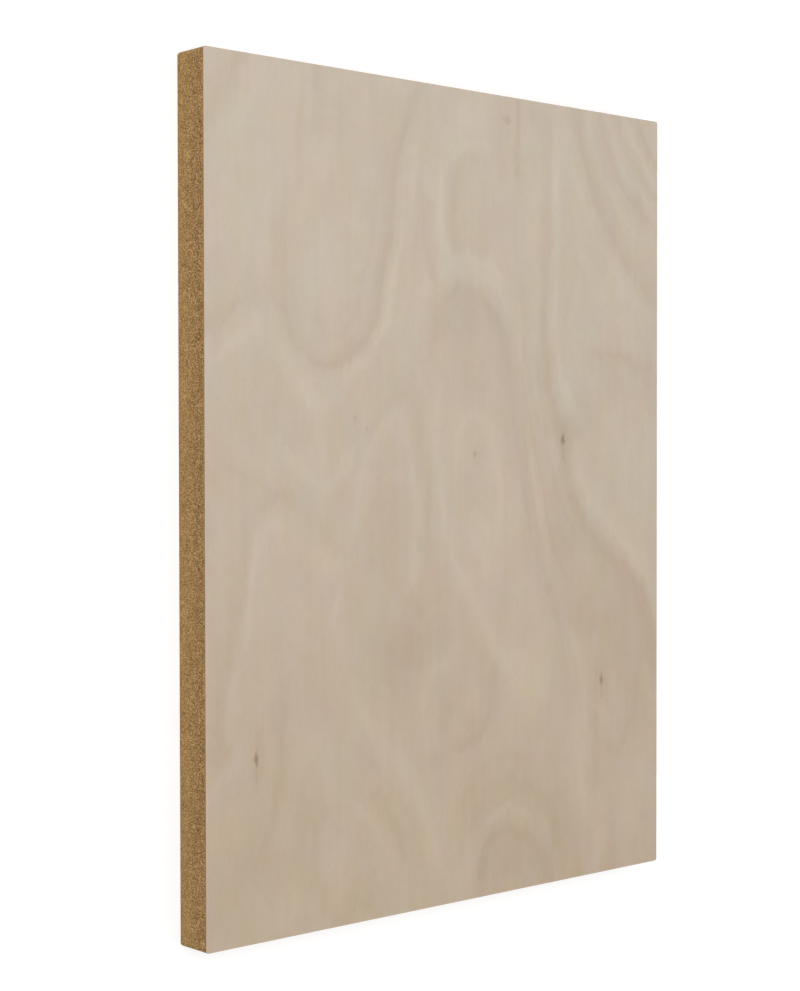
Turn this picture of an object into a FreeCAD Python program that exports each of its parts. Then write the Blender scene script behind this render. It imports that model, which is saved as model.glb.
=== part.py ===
"""A veneered MDF board: one fibreboard core with a thin wood veneer glued to each face.

The board lies flat. +X runs across its width, +Y along its length, which is also the way
the veneer's grain runs, and +Z out of the show face. The origin is on the underside, at
the middle of the board. All sizes are millimetres and come from the Dimensions sheet.
"""

import FreeCAD, Part
import math
import os
import Sketcher

PARTS_FOLDER = "parts"
SHEET = "Dimensions"

# Driving dimensions: alias, millimetres, what it is.
DIMENSIONS = [
    ("board_length", 380.0, "board along the grain"),
    ("board_width", 285.0, "board across the grain"),
    ("core_thickness", 18.0, "fibreboard core"),
    ("veneer_thickness", 0.5, "veneer on each face"),
    ("corner_radius", 1.5, "board's four corners, knocked off with sandpaper"),
    ("arris_radius", 0.2, "outer edge of each veneer, eased by sanding"),
]

# Sketcher's numbers for the two ends of a line or arc, and for the origin among a sketch's geometry.
START = 1
END = 2
ORIGIN = -1


def fill_sheet(doc):
    """Puts the driving dimensions in a spreadsheet, one aliased cell each."""
    sheet = doc.addObject("Spreadsheet::Sheet", SHEET)
    for row, (alias, value, meaning) in enumerate(DIMENSIONS, start=1):
        sheet.set(f"A{row}", meaning)
        sheet.set(f"B{row}", str(value))
        sheet.setAlias(f"B{row}", alias)
    doc.recompute()
    return sheet


def cell(alias):
    """The expression that reads one driving dimension."""
    return f"{SHEET}.{alias}"


def draw_outline(body, sheet):
    """Sketches the board's outline on the body's XY plane: a rectangle with rounded corners."""
    sketch = body.newObject("Sketcher::SketchObject", body.Name + "_outline")
    plane = next(feature for feature in body.Origin.OriginFeatures if feature.Role == "XY_Plane")
    sketch.AttachmentSupport = [(plane, "")]
    sketch.MapMode = "FlatFace"

    side_x = sheet.board_width / 2
    side_y = sheet.board_length / 2
    radius = sheet.corner_radius
    straight_x = side_x - radius
    straight_y = side_y - radius

    # The four straight sides, walked anticlockwise from the -Y side, each with the centre of the
    # corner that follows it.
    sides = [
        ((-straight_x, -side_y), (straight_x, -side_y), (straight_x, -straight_y)),
        ((side_x, -straight_y), (side_x, straight_y), (straight_x, straight_y)),
        ((straight_x, side_y), (-straight_x, side_y), (-straight_x, straight_y)),
        ((-side_x, straight_y), (-side_x, -straight_y), (-straight_x, -straight_y)),
    ]
    quarter_turn = math.pi / 2
    lines = []
    corners = []
    for number, (start, end, centre) in enumerate(sides):
        line = Part.LineSegment(FreeCAD.Vector(*start), FreeCAD.Vector(*end))
        lines.append(sketch.addGeometry(line, False))
        circle = Part.Circle(FreeCAD.Vector(*centre), FreeCAD.Vector(0, 0, 1), radius)
        begins = (number - 1) * quarter_turn
        arc = Part.ArcOfCircle(circle, begins, begins + quarter_turn)
        corners.append(sketch.addGeometry(arc, False))

    join_outline(sketch, lines, corners)
    drive_outline(sketch, lines, corners)
    return sketch


def join_outline(sketch, lines, corners):
    """Joins sides and corners smoothly, squares the outline and centres it on the origin."""
    for number, corner in enumerate(corners):
        following = lines[(number + 1) % len(lines)]
        sketch.addConstraint(Sketcher.Constraint("Tangent", lines[number], END, corner, START))
        sketch.addConstraint(Sketcher.Constraint("Tangent", corner, END, following, START))
    for corner in corners[1:]:
        sketch.addConstraint(Sketcher.Constraint("Equal", corners[0], corner))
    sketch.addConstraint(Sketcher.Constraint("Horizontal", lines[0]))
    sketch.addConstraint(Sketcher.Constraint("Vertical", lines[1]))
    for side, opposite in (lines[0::2], lines[1::2]):
        about_origin = Sketcher.Constraint("Symmetric", side, START, opposite, START, ORIGIN, START)
        sketch.addConstraint(about_origin)


def drive_outline(sketch, lines, corners):
    """Binds the outline's length, width and corner radius to the sheet."""
    bottom, right, top, left = lines
    # The values given here only stand in until the expressions below replace them.
    driven = {
        "board_length": Sketcher.Constraint("DistanceY", bottom, START, top, END, 1.0),
        "board_width": Sketcher.Constraint("DistanceX", left, START, right, END, 1.0),
        "corner_radius": Sketcher.Constraint("Radius", corners[0], 1.0),
    }
    for alias, constraint in driven.items():
        sketch.renameConstraint(sketch.addConstraint(constraint), alias)
        sketch.setExpression(f"Constraints.{alias}", cell(alias))


def add_layer(doc, sheet, label, thickness, underside):
    """Adds one layer of the board: the outline, padded up from the layer's underside.

    thickness is the alias of the layer's thickness, and underside the expression for the
    height at which the layer starts.
    """
    body = doc.addObject("PartDesign::Body", label)
    body.Label = label
    pad_sketch = draw_outline(body, sheet)
    pad = body.newObject("PartDesign::Pad", label + "_pad")
    pad.Profile = pad_sketch
    pad.setExpression("Length", cell(thickness))
    body.setExpression(".Placement.Base.z", underside)
    doc.recompute()
    return body


def ease_arris(doc, body, height):
    """Rounds the layer's outline at one height above its underside, as sandpaper does."""
    pad = body.Tip
    tolerance = 1e-6
    edges = [
        f"Edge{number}"
        for number, edge in enumerate(pad.Shape.Edges, start=1)
        if all(abs(vertex.Z - height) < tolerance for vertex in edge.Vertexes)
    ]
    arris = body.newObject("PartDesign::Fillet", body.Name + "_arris")
    arris.Base = (pad, edges)
    arris.setExpression("Radius", cell("arris_radius"))
    body.Tip = arris
    doc.recompute()


def build():
    """Builds the board's three layers from the underside up."""
    doc = FreeCAD.newDocument("veneered_board")
    sheet = fill_sheet(doc)
    veneer = cell("veneer_thickness")
    core = cell("core_thickness")

    back_veneer = add_layer(doc, sheet, "back_veneer", "veneer_thickness", "0 mm")
    ease_arris(doc, back_veneer, 0.0)

    mdf_core = add_layer(doc, sheet, "mdf_core", "core_thickness", f"{veneer} * 1 mm")

    face_underside = f"({veneer} + {core}) * 1 mm"
    face_veneer = add_layer(doc, sheet, "face_veneer", "veneer_thickness", face_underside)
    ease_arris(doc, face_veneer, sheet.veneer_thickness)

    doc.recompute()
    return doc, [back_veneer, mdf_core, face_veneer]


def check(doc, layers):
    """Stops if any object failed to compute, or if a layer isn't one valid solid."""
    for item in doc.Objects:
        if "Invalid" in item.State or "Error" in item.State:
            raise RuntimeError(f"{item.Name} failed: {item.State}")
    for layer in layers:
        shape = layer.Shape
        if shape.isNull() or not shape.isValid() or len(shape.Solids) != 1:
            raise RuntimeError(f"{layer.Label} isn't one valid solid")


def export(layers):
    """Writes each layer to a STEP file of its own, named after the layer, and prints its size."""
    os.makedirs(PARTS_FOLDER, exist_ok=True)
    for layer in layers:
        shape = layer.Shape
        shape.exportStep(os.path.join(PARTS_FOLDER, layer.Label + ".step"))
        box = shape.optimalBoundingBox(False)
        size = f"{box.XLength:.2f} x {box.YLength:.2f} x {box.ZLength:.2f} mm"
        print(f"{layer.Label}: {size}, from z {box.ZMin:.2f}, {shape.Volume / 1000:.1f} cm3")


document, board_layers = build()
check(document, board_layers)
export(board_layers)
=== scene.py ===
"""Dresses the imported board: a fibreboard core with a sheet of birch veneer on each broad face."""

import logging
import math
from dataclasses import dataclass, field
from enum import Enum

import bpy
import numpy as np
from mathutils import Matrix, Vector


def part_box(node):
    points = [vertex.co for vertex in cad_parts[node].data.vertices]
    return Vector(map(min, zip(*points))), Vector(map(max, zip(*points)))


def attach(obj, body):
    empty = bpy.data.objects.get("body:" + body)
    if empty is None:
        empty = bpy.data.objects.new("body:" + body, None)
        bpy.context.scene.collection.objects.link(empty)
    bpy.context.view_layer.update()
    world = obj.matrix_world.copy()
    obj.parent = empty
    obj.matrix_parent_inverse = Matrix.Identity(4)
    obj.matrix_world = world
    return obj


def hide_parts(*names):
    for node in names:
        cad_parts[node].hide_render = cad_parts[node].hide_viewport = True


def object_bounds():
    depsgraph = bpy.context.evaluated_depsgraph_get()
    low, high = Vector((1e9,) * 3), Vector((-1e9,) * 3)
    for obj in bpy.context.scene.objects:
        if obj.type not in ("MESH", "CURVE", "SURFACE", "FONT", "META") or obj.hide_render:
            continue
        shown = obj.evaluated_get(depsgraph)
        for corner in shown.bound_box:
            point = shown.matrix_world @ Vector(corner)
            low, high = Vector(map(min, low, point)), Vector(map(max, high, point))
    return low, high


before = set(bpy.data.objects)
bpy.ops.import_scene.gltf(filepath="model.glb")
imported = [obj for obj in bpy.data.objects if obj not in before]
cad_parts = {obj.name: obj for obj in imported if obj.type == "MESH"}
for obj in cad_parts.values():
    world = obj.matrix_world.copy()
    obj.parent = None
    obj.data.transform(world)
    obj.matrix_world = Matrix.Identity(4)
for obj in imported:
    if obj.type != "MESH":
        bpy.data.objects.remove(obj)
CAD_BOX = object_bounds()

MM = 0.001
LOG = logging.getLogger("board")

Pair = tuple[float, float]
Triple = tuple[float, float, float]
Colour = Triple
Socket = bpy.types.NodeSocket
Sockets = bpy.types.bpy_prop_collection
Value = float | Triple | Socket


class Layer(Enum):
    """The three sheets the board is pressed from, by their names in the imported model."""

    CORE = "mdf_core"
    FACE = "face_veneer"
    BACK = "back_veneer"


class Slot(Enum):
    """The record's finishes."""

    FIBREBOARD = "mdf"
    VENEER = "birch_veneer"


class Facing(Enum):
    """Which way the show side of a veneer looks."""

    UP = "up"
    DOWN = "down"


class Carrier(Enum):
    """The values that the meshes carry for their materials."""

    FIGURE = "figure"
    WRAP = "edge_wrap"
    PIT = "pit"


# ---------------------------------------------------------------- noise and outlines


def smooth_noise(across: np.ndarray, along: np.ndarray, cell: Pair, seed: int) -> np.ndarray:
    """Soft random hills over a plane.

    Args:
        across: the first coordinate of each point.
        along: the second coordinate of each point.
        cell: how far apart the hills are, in each direction.
        seed: which set of hills.

    Returns:
        A value between -1 and 1 for each point.
    """
    u = across / cell[0]
    v = along / cell[1]
    column = np.floor(u).astype(int)
    row = np.floor(v).astype(int)
    column_start, row_start = column.min(), row.min()
    lattice = np.random.default_rng(seed).uniform(
        -1.0, 1.0, (column.max() - column_start + 2, row.max() - row_start + 2)
    )
    s = u - column
    t = v - row
    s = s * s * (3.0 - 2.0 * s)
    t = t * t * (3.0 - 2.0 * t)
    i = column - column_start
    j = row - row_start
    near = lattice[i, j] * (1.0 - s) + lattice[i + 1, j] * s
    far = lattice[i, j + 1] * (1.0 - s) + lattice[i + 1, j + 1] * s
    return near * (1.0 - t) + far * t


@dataclass(frozen=True)
class Outline:
    """The rounded rectangle that every layer is cut to, as stations round a smaller square-cornered one."""

    width: float
    length: float
    corner_radius: float = 1.5 * MM
    corner_steps: int = 6

    @property
    def half_inner(self) -> Pair:
        """Half the size of the rectangle through the centres of the corner arcs."""
        return self.width / 2 - self.corner_radius, self.length / 2 - self.corner_radius

    def stations(self, columns: int, rows: int) -> tuple[np.ndarray, np.ndarray]:
        """Walks round the board, anticlockwise seen from above.

        Args:
            columns: points along each short side.
            rows: points along each long side.

        Returns:
            The grid places (column, row) that the stations stand on, and their outward directions.
        """
        sides = [
            ([(i, 0) for i in range(columns)], -90.0),
            ([(columns - 1, j) for j in range(rows)], 0.0),
            ([(i, rows - 1) for i in reversed(range(columns))], 90.0),
            ([(0, j) for j in reversed(range(rows))], 180.0),
        ]
        places: list[tuple[int, int]] = []
        headings: list[float] = []
        for side, heading in sides:
            places += side
            headings += [heading] * len(side)
            for step in range(1, self.corner_steps):
                places.append(side[-1])
                headings.append(heading + 90.0 * step / self.corner_steps)
        angles = np.radians(headings)
        return np.array(places), np.stack([np.cos(angles), np.sin(angles)], axis=1)

    def grid(self, pitch: float) -> tuple[np.ndarray, np.ndarray]:
        """The grid's lines between the corner centres.

        Args:
            pitch: about how far apart they are.

        Returns:
            Their X and their Y values.
        """
        across, along = (np.linspace(-half, half, round(2 * half / pitch) + 1) for half in self.half_inner)
        return across, along


class Sheet:
    """Collects points and faces, and turns them into one closed mesh object."""

    def __init__(self) -> None:
        """Starts an empty sheet."""
        self.points: list[np.ndarray] = []
        self.faces: list[tuple[int, ...]] = []
        self.count = 0

    def add_points(self, points: np.ndarray) -> np.ndarray:
        """Adds points.

        Args:
            points: an array of X, Y, Z rows.

        Returns:
            Their index numbers.
        """
        start = self.count
        self.points.append(points)
        self.count += len(points)
        return np.arange(start, self.count)

    def band(self, inner: np.ndarray, outer: np.ndarray) -> None:
        """Closes the strip between two rings, with triangles where a ring stands still.

        Args:
            inner: index numbers of the first ring.
            outer: index numbers of the ring outside or below it.
        """
        following = np.roll(np.arange(len(inner)), -1)
        for here, there in enumerate(following):
            corner = [inner[here], outer[here], outer[there], inner[there]]
            kept = [int(c) for k, c in enumerate(corner) if c != corner[k - 1]]
            self.faces.append(tuple(kept))

    def cap(self, ring: np.ndarray, centre: np.ndarray) -> None:
        """Closes a ring with a fan about one point, below the ring's last band.

        Args:
            ring: index numbers of the ring.
            centre: the point in its middle.
        """
        middle = self.add_points(centre.reshape(1, 3))
        self.band(ring, np.repeat(middle, len(ring)))

    def build(self, name: str, mirrored_at: float | None = None) -> bpy.types.Object:
        """Makes the mesh object.

        Args:
            name: the object's name.
            mirrored_at: a height to turn the sheet over about, or None to leave it.

        Returns:
            The new object, linked to the scene.
        """
        points = np.concatenate(self.points)
        faces = self.faces
        if mirrored_at is not None:
            points = points * (1.0, 1.0, -1.0) + (0.0, 0.0, 2.0 * mirrored_at)
            faces = [tuple(reversed(face)) for face in faces]
        mesh = bpy.data.meshes.new(name)
        mesh.from_pydata(points.tolist(), [], faces)
        mesh.validate()
        piece = bpy.data.objects.new(name, mesh)
        bpy.context.scene.collection.objects.link(piece)
        return piece


def carry(piece: bpy.types.Object, carrier: Carrier, values: np.ndarray) -> None:
    """Stores a value or a vector on each point of a mesh.

    Args:
        piece: the mesh object.
        carrier: the name to store it under.
        values: one number, or one row of three, for each point.
    """
    vector = values.ndim == 2
    kind = "FLOAT_VECTOR" if vector else "FLOAT"
    attribute = piece.data.attributes.new(carrier.value, kind, "POINT")
    attribute.data.foreach_set("vector" if vector else "value", values.astype(np.float32).ravel())


def hand_over(piece: bpy.types.Object, material: bpy.types.Material, layer: Layer) -> None:
    """Shades and dresses a finished piece, and puts it on the board in place of its plain layer.

    Args:
        piece: the mesh object.
        material: what it is made of.
        layer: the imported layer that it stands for.
    """
    piece.data.polygons.foreach_set("use_smooth", [True] * len(piece.data.polygons))
    piece.data.materials.append(material)
    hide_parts(layer.value)
    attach(piece, "root")


# ---------------------------------------------------------------- the figure of the wood


# A ring's tone across its course. Reaches, places and spreads are in ring widths.
BAND_SPREAD = 1.08
TRAIL_SHARE = 0.46
TRAIL_REACH = 3.6
FLANK_SHARE = 0.25
FLANK_SPREAD = 1.25
FLANK_PLACE = 2.7
RIPPLE_SHARE = 0.11
RIPPLE_PITCH = 1.9
RIPPLE_REACH = 3.2
FAR_OFF = 9.0

# A ring's tone along its course: how fast it comes in from its ends, and from what share.
TAPER_RATE = 5.0
TAPER_START = 0.25

FULL_TONE = 0.95


@dataclass(frozen=True)
class Unevenness:
    """One layer of random hills: how far apart they are in mm, how high, and which set of them."""

    cell: Pair
    height: float
    number: int = 0

    def spread(self, across: np.ndarray, along: np.ndarray, seed: int) -> np.ndarray:
        """Works out the hills' height at each point.

        Args:
            across: the first coordinate of each point, in mm.
            along: the second coordinate of each point, in mm.
            seed: the sheet's own seed.

        Returns:
            The height, below and above 0.
        """
        return self.height * smooth_noise(across, along, self.cell, seed + self.number)


PATCHY_RING = Unevenness((11.0, 20.0), 0.40)
FRAYED_FLUSH = Unevenness((7.0, 12.0), 0.45)


class Tone(Enum):
    """Whether a mark is late wood, darker than the sheet, or early wood, paler."""

    LATE = -1.0
    EARLY = 1.0


class Trail(Enum):
    """The side of a ring, seen along its course, on which the wood goes back slowly to its usual tone."""

    LEFT = 1.0
    RIGHT = -1.0
    NONE = 0.0


@dataclass(frozen=True)
class Ring:
    """A growth ring where the knife cuts it: a soft line, in mm from the sheet's front left corner."""

    tone: Tone
    strength: float
    width: float
    course: tuple[Pair, ...]
    trail: Trail = Trail.NONE

    def smoothed(self, steps: int = 8) -> np.ndarray:
        """Draws the ring's course as a smooth curve.

        Args:
            steps: points between two of the course's own.

        Returns:
            The curve's points, in mm.
        """
        course = np.array(self.course, float)
        padded = np.concatenate([2 * course[:1] - course[1:2], course, 2 * course[-1:] - course[-2:-1]])
        t = np.arange(steps)[:, None] / steps
        runs = []
        for a, b, c, d in zip(padded, padded[1:], padded[2:], padded[3:]):
            square = 2 * a - 5 * b + 4 * c - d
            cube = 3 * b - a - 3 * c + d
            runs.append(0.5 * (2 * b + (c - a) * t + square * t**2 + cube * t**3))
        return np.concatenate([*runs, course[-1:]])

    def profile(self, offset: np.ndarray) -> np.ndarray:
        """How the ring's tone runs across it.

        Args:
            offset: distance from the ring's middle in ring widths, above 0 on the left of its course.

        Returns:
            The tone there, 1 in the middle.
        """
        band = np.exp(-((offset / BAND_SPREAD) ** 2))
        away = np.abs(offset)
        band += RIPPLE_SHARE * np.cos(2.0 * np.pi * away / RIPPLE_PITCH) * np.exp(-away / RIPPLE_REACH)
        if self.trail is Trail.NONE:
            return band
        behind = offset * self.trail.value
        slow = TRAIL_SHARE * (1.0 - np.exp(-behind * behind)) * np.exp(-away / TRAIL_REACH) * (behind > 0.0)
        flank = FLANK_SHARE * np.exp(-(((behind + FLANK_PLACE) / FLANK_SPREAD) ** 2))
        return band + slow - flank

    def press(self, x: np.ndarray, y: np.ndarray, seed: int) -> np.ndarray:
        """How strongly the ring shows at each point.

        Args:
            x: distance from the left edge, in mm.
            y: distance from the front edge, in mm.
            seed: which unevenness it has along its course.

        Returns:
            The ring's signed share of the figure.
        """
        curve = self.smoothed()
        reach = FAR_OFF * self.width
        low, high = curve.min(0) - reach, curve.max(0) + reach
        near = (x > low[0]) & (x < high[0]) & (y > low[1]) & (y < high[1])
        px, py = x[near], y[near]
        best = np.full(px.shape, np.inf)
        place = np.zeros(px.shape)
        side = np.ones(px.shape)
        last = len(curve) - 1
        for index, (start, end) in enumerate(zip(curve, curve[1:])):
            run = end - start
            dx, dy = px - start[0], py - start[1]
            t = np.clip((dx * run[0] + dy * run[1]) / max(run @ run, 1e-9), 0.0, 1.0)
            gap = (dx - t * run[0]) ** 2 + (dy - t * run[1]) ** 2
            closer = gap < best
            best = np.where(closer, gap, best)
            place = np.where(closer, (index + t) / last, place)
            side = np.where(closer, np.sign(run[0] * dy - run[1] * dx), side)
        taper = np.clip(np.minimum(place, 1.0 - place) * TAPER_RATE + TAPER_START, 0.0, 1.0)
        uneven = 1.0 + PATCHY_RING.spread(px, py, seed)
        shown = np.zeros(x.shape)
        shown[near] = self.profile(side * np.sqrt(best) / self.width) * uneven * taper
        return shown * self.tone.value * self.strength


@dataclass(frozen=True)
class Flush:
    """A soft patch of early or late wood, in mm from the sheet's front left corner."""

    tone: Tone
    strength: float
    centre: Pair
    reach: Pair

    def press(self, x: np.ndarray, y: np.ndarray, seed: int) -> np.ndarray:
        """How strongly the patch shows at each point.

        Args:
            x: distance from the left edge, in mm.
            y: distance from the front edge, in mm.
            seed: which unevenness its outline has.

        Returns:
            The patch's signed share of the figure.
        """
        u = (x - self.centre[0]) / self.reach[0]
        v = (y - self.centre[1]) / self.reach[1]
        frayed = (u * u + v * v) * (1.0 + FRAYED_FLUSH.spread(x, y, seed))
        return np.exp(-frayed) * self.tone.value * self.strength


@dataclass(frozen=True)
class PinKnot:
    """A small dark bud trace: its place and size in mm, and how dark it is."""

    centre: Pair
    size: Pair
    strength: float


LATE, EARLY = Tone.LATE, Tone.EARLY
LEFT, RIGHT = Trail.LEFT, Trail.RIGHT

UPPER_LEFT_LOOP = (
    Ring(
        LATE, 0.60, 2.8,
        ((41, 322), (41, 300), (42, 280), (47, 262), (57, 251), (71, 250), (84, 256), (91, 266)), LEFT,
    ),
    Ring(
        LATE, 0.80, 2.6,
        (
            (86, 258), (93, 270), (96, 284), (100, 298), (103, 314),
            (105, 332), (109, 350), (115, 366), (122, 384),
        ),
        LEFT,
    ),
    Ring(LATE, 0.50, 4.0, ((-6, 255), (4, 264), (14, 272), (26, 278), (36, 278), (45, 268)), LEFT),
    Ring(
        EARLY, 0.40, 4.6,
        ((-4, 243), (13, 255), (27, 262), (37, 259), (45, 247), (53, 236), (61, 231), (72, 237)),
    ),
    Ring(
        EARLY, 0.24, 4.4,
        ((66, 234), (80, 246), (91, 256), (99, 269), (106, 284), (110, 300), (112, 320), (115, 338)),
    ),
    Flush(EARLY, 0.34, (57, 236), (7, 7)),
    Ring(EARLY, 0.34, 5.0, ((36, 217), (48, 206), (60, 198), (73, 202), (86, 216))),
    Flush(EARLY, 0.16, (60, 211), (14, 12)),
    Ring(LATE, 0.30, 3.4, ((53, 375), (51, 350), (50, 332), (47, 314))),
    Ring(LATE, 0.52, 4.2, ((61, 386), (61, 368), (60, 348))),
    Ring(LATE, 0.62, 4.2, ((-4, 343), (4, 353), (12, 365), (19, 376), (24, 388)), LEFT),
    Ring(
        LATE, 0.24, 1.3,
        ((98, 256), (105, 272), (109, 290), (111, 308), (113, 330), (117, 352), (128, 380)),
    ),
    Ring(
        LATE, 0.20, 1.2,
        ((106, 254), (113, 272), (117, 292), (119, 312), (121, 334), (127, 356), (138, 382)),
    ),
    Ring(LATE, 0.18, 1.2, ((58, 270), (64, 263), (72, 262), (80, 268), (86, 282), (91, 300), (94, 322))),
    Flush(LATE, 0.48, (38, 305), (6, 15)),
    Flush(EARLY, 0.22, (66, 290), (14, 24)),
    Flush(LATE, 0.20, (73, 362), (9, 16)),
    Flush(LATE, 0.22, (70, 330), (7, 10)),
    Flush(LATE, 0.20, (24, 228), (15, 11)),
    Ring(LATE, 0.30, 5.0, ((-4, 196), (12, 203), (26, 199), (38, 192), (48, 188))),
    Flush(LATE, 0.26, (6, 268), (7, 7)),
)

LEFT_ARCH = (
    Ring(
        EARLY, 0.40, 3.6,
        ((80, 168), (83, 190), (88, 204), (94, 216), (102, 226), (109, 228), (113, 218), (116, 202)),
    ),
    Ring(EARLY, 0.46, 3.0, ((115, 208), (118, 190), (118, 174), (117, 158), (113, 146))),
    Ring(EARLY, 0.28, 2.2, ((98, 196), (108, 202), (117, 200))),
    Ring(
        LATE, 0.40, 3.2,
        ((119, 236), (120, 220), (123, 205), (125, 190), (126, 174), (125, 156), (121, 142)),
    ),
    Ring(LATE, 0.24, 3.4, ((84, 206), (94, 222), (104, 236), (114, 240))),
    Flush(LATE, 0.34, (102, 178), (9, 18)),
    Ring(
        EARLY, 0.46, 3.8,
        (
            (12, 84), (14, 108), (20, 126), (24, 148), (27, 166),
            (31, 178), (41, 179), (52, 171), (64, 164), (78, 160),
        ),
        RIGHT,
    ),
    Ring(LATE, 0.40, 4.6, ((25, 186), (21, 161), (17, 142), (11, 120), (7, 101), (5, 76))),
    Flush(LATE, 0.40, (8, 84), (5, 7)),
    Flush(EARLY, 0.16, (50, 140), (14, 18)),
)

LOWER_LEFT = (
    Ring(EARLY, 0.24, 3.5, ((71, 160), (73, 139), (76, 117), (82, 98))),
    Ring(EARLY, 0.55, 1.2, ((71, 148), (70, 138), (71, 127))),
    Ring(
        EARLY, 0.50, 4.6,
        ((76, 108), (85, 94), (97, 79), (110, 66), (120, 53), (127, 36), (133, 18), (139, -4)), LEFT,
    ),
    Ring(LATE, 0.42, 2.2, ((88, 62), (96, 55), (103, 45), (109, 34), (113, 23))),
    Ring(EARLY, 0.28, 2.6, ((74, 56), (86, 50), (96, 40), (103, 28), (108, 12))),
    Ring(LATE, 0.36, 5.0, ((74, -6), (78, 4), (86, 9), (94, 3), (97, -5))),
    Ring(LATE, 0.44, 3.6, ((43, 112), (42, 94), (39, 76), (37, 58), (31, 44), (24, 34))),
    Flush(LATE, 0.40, (40, 98), (5, 10)),
    Ring(LATE, 0.20, 1.3, ((80, 82), (92, 70), (103, 58), (113, 45), (120, 30), (125, 12))),
    Ring(LATE, 0.18, 1.2, ((58, 60), (70, 46), (82, 36), (92, 22), (99, 8))),
    Ring(EARLY, 0.34, 4.2, ((-3, 60), (6, 70), (15, 80))),
    Flush(LATE, 0.30, (21, 95), (8, 6)),
    Flush(LATE, 0.38, (54, 44), (7, 20)),
    Flush(LATE, 0.34, (26, 34), (14, 9)),
    Flush(LATE, 0.34, (7, 20), (12, 12)),
    Flush(EARLY, 0.22, (7, 52), (9, 8)),
    Flush(EARLY, 0.26, (64, 82), (14, 18)),
    Flush(EARLY, 0.26, (70, 30), (12, 9)),
    Flush(EARLY, 0.26, (44, 12), (9, 10)),
    Flush(EARLY, 0.22, (116, 14), (8, 16)),
)

BULLSEYE = (
    Flush(LATE, 0.90, (110, 126), (11, 10)),
    Flush(LATE, 0.34, (114, 118), (17, 17)),
    Flush(LATE, 0.46, (101, 117), (6, 7)),
    Flush(LATE, 0.50, (122, 140), (7, 7)),
    Flush(LATE, 0.36, (133, 129), (8, 7)),
    Flush(LATE, 0.42, (105, 103), (7, 10)),
    Flush(LATE, 0.18, (140, 92), (26, 26)),
    Ring(LATE, 0.56, 3.0, ((163, 107), (166, 93), (162, 82), (153, 74), (142, 71))),
    Ring(EARLY, 0.40, 3.6, ((124, 78), (122, 90), (125, 103), (132, 112), (143, 114))),
    Flush(LATE, 0.20, (139, 97), (5, 7)),
    Flush(EARLY, 0.30, (153, 95), (5, 6)),
    Flush(LATE, 0.28, (172, 96), (5, 12)),
    Flush(LATE, 0.24, (124, 66), (12, 8)),
    Flush(EARLY, 0.66, (189, 96), (13, 14)),
    Flush(EARLY, 0.30, (198, 104), (9, 16)),
    Flush(EARLY, 0.40, (180, 111), (11, 11)),
    Flush(EARLY, 0.28, (193, 138), (10, 22)),
    Ring(
        EARLY, 0.50, 3.4,
        ((134, 247), (132, 228), (132, 212), (133, 196), (136, 178), (143, 162), (152, 146)),
    ),
    Ring(EARLY, 0.56, 4.2, ((144, 158), (152, 145), (162, 130), (171, 117), (181, 104)), LEFT),
)

CENTRAL_ARCH = (
    Ring(
        LATE, 0.85, 4.4,
        ((129, 256), (131, 270), (134, 279), (142, 284), (152, 285), (162, 281), (170, 273), (175, 262)),
        RIGHT,
    ),
    Flush(LATE, 0.48, (150, 275), (13, 8)),
    Flush(LATE, 0.55, (149, 268), (9, 4)),
    Flush(LATE, 0.30, (154, 247), (12, 15)),
    Ring(
        LATE, 0.56, 3.0,
        ((172, 272), (178, 256), (182, 243), (187, 224), (191, 204), (195, 185), (201, 165), (207, 143)),
        RIGHT,
    ),
    Ring(LATE, 0.36, 3.6, ((203, 152), (207, 142), (213, 122), (218, 100), (220, 78))),
    Ring(LATE, 0.40, 2.4, ((189, 266), (193, 243), (196, 228), (199, 208), (205, 188))),
    Ring(EARLY, 0.40, 2.0, ((186, 232), (190, 218), (194, 200), (199, 178), (205, 158), (211, 140))),
    Ring(
        LATE, 0.44, 1.3,
        ((180, 270), (187, 246), (192, 226), (197, 206), (203, 186), (210, 164), (219, 142)),
    ),
    Ring(LATE, 0.42, 1.3, ((197, 264), (199, 243), (203, 222), (208, 202), (215, 184), (225, 166))),
    Ring(LATE, 0.34, 1.3, ((176, 250), (181, 230), (185, 210), (189, 190), (195, 168), (202, 146))),
    Ring(
        EARLY, 0.54, 3.8,
        ((143, 196), (145, 216), (150, 225), (158, 227), (165, 220), (169, 206), (172, 188), (172, 170)),
    ),
    Flush(EARLY, 0.42, (164, 168), (9, 16)),
    Flush(EARLY, 0.24, (153, 176), (8, 12)),
    Flush(EARLY, 0.26, (181, 176), (8, 20)),
)

TOP_TONGUE = (
    Ring(
        EARLY, 0.46, 2.4,
        ((164, 357), (156, 355), (146, 351), (138, 343), (135, 332), (134, 316), (136, 304), (142, 298)),
        RIGHT,
    ),
    Ring(EARLY, 0.42, 2.4, ((138, 299), (148, 302), (158, 301), (167, 297), (178, 290))),
    Ring(EARLY, 0.30, 2.4, ((152, 295), (162, 293), (171, 286), (179, 277))),
    Ring(LATE, 0.50, 3.2, ((152, 346), (144, 337), (142, 326), (142, 312), (146, 304))),
    Ring(LATE, 0.46, 3.2, ((123, 332), (124, 316), (127, 300), (131, 286)), RIGHT),
    Flush(LATE, 0.22, (155, 318), (14, 13)),
    Flush(EARLY, 0.24, (155, 367), (12, 8)),
    Flush(EARLY, 0.26, (192, 322), (6, 26)),
    Flush(LATE, 0.20, (187, 282), (7, 14)),
    Ring(LATE, 0.86, 1.5, ((184, 386), (184, 361), (183, 340))),
    Flush(LATE, 0.44, (195, 376), (4, 10)),
)

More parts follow.
